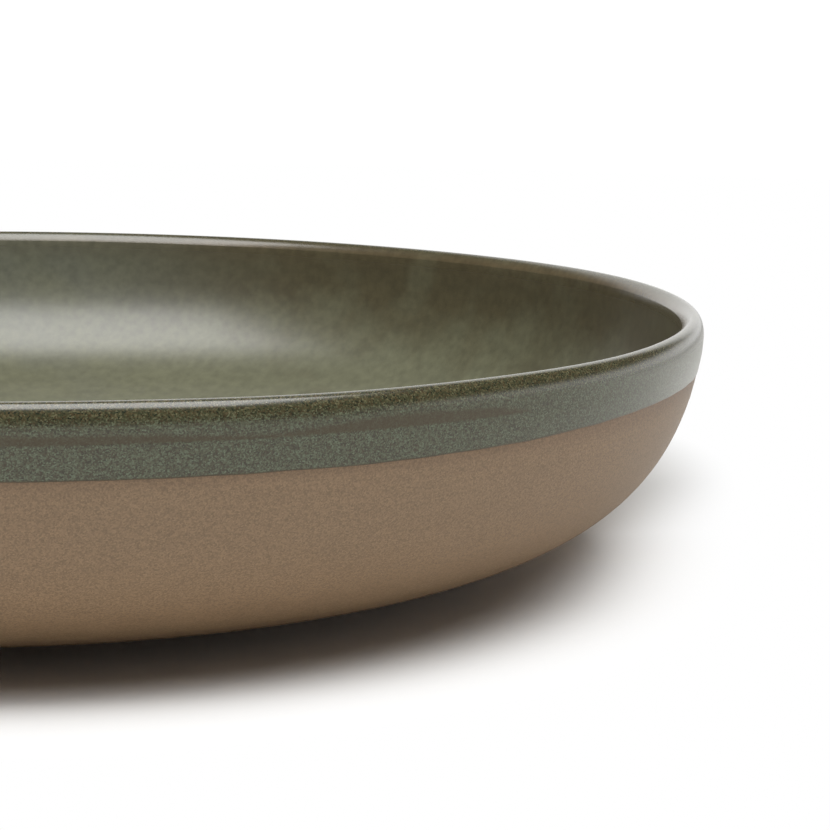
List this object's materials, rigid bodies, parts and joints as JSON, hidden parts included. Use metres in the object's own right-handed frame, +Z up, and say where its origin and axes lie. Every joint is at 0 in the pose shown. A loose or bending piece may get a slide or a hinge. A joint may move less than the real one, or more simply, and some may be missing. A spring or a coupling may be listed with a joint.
{
  "type": "serving bowl",
  "caption": "Wide shallow stoneware serving bowl with a rounded lip, a glazed inside and outer band, bare clay below and a low foot ring.",
  "frame": {"origin": "on the bowl's axis, at the level that the foot ring stands on", "axes": "+Z up along the bowl's axis, from the foot to the rim; +X and +Y lie in the standing plane"},
  "size_m": [0.32, 0.32, 0.0582],
  "materials": {
    "bare_stoneware": "unglazed, fine sandy grain with faint turning lines",
    "satin_glaze": "satin grey-green glaze, breaking brown on the lip",
    "speckled_glaze": "satin blue-green glaze with fine brown and dark speckle"
  },
  "bodies": {
    "root": {"clay_body": "bare_stoneware", "inside_glaze": "satin_glaze", "band_glaze": "speckled_glaze"}
  },
  "joints": []
}
